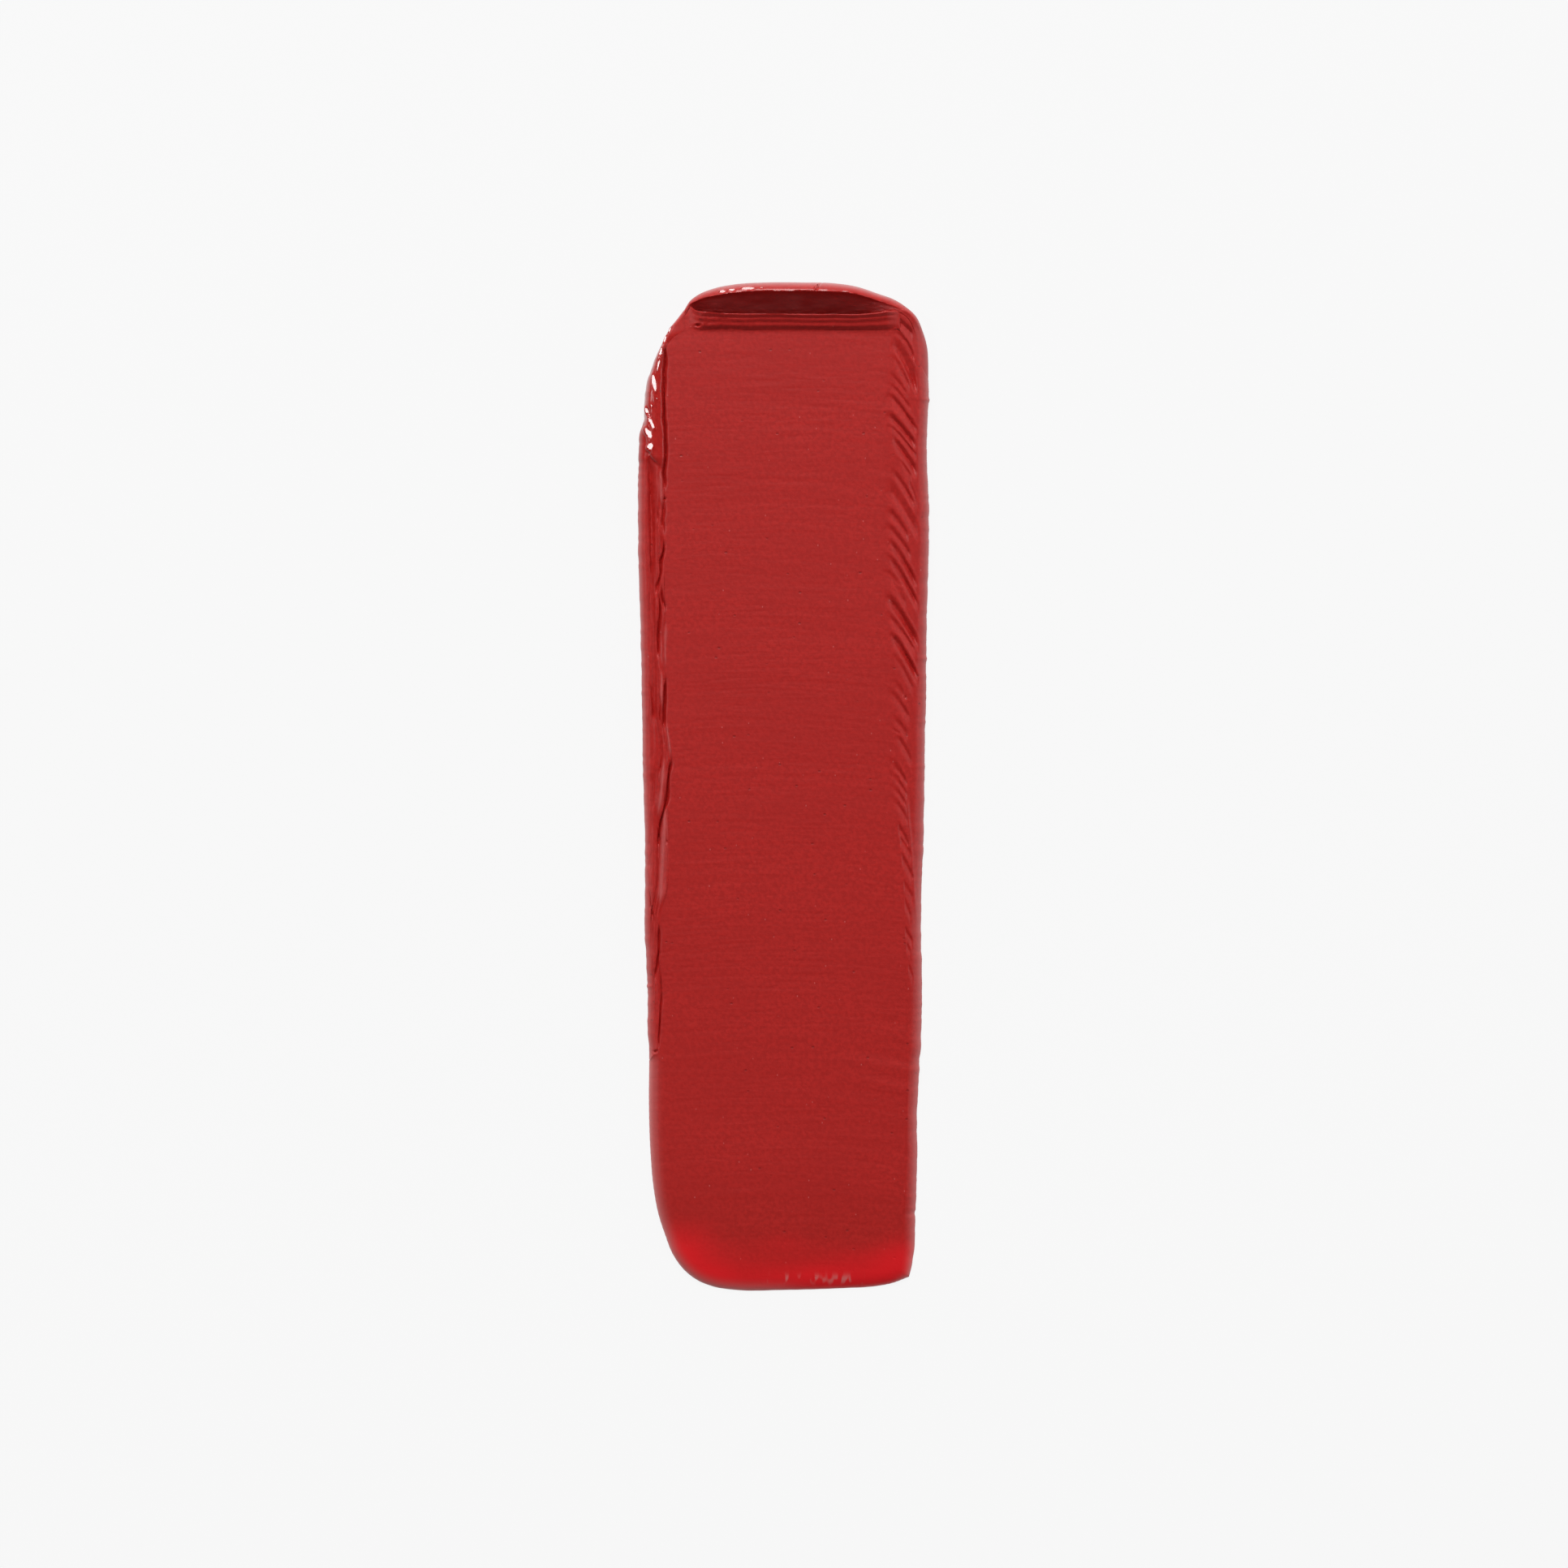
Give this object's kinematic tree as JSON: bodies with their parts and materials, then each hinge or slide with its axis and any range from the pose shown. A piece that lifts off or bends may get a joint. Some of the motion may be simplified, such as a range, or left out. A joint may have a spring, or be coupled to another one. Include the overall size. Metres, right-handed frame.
{
  "type": "lipstick smear",
  "caption": "Flat strip of soft red paste spread in one spatula stroke, with a rolled curl at the end, a glossy roll squeezed out on the left and chatter marks down the right",
  "frame": {"origin": "middle of the smear's bounding box, on the surface it lies on", "axes": "+Y along the stroke from the thin toe to the raised curl, +X to the right seen from above with +Y up, +Z up off the surface"},
  "size_m": [0.015, 0.0518, 0.0024],
  "materials": {
    "pressed_paste": "matte",
    "ridge_paste": "satin",
    "rolled_paste": "satin",
    "glossy_paste": "gloss",
    "streaked_paste": "satin",
    "flap_paste": "satin"
  },
  "bodies": {
    "root": {"spread_strip": "pressed_paste", "blade_ridge": "ridge_paste", "end_curl": "rolled_paste", "left_bead": "glossy_paste", "left_fold": "streaked_paste", "left_flap": "flap_paste"}
  },
  "joints": []
}
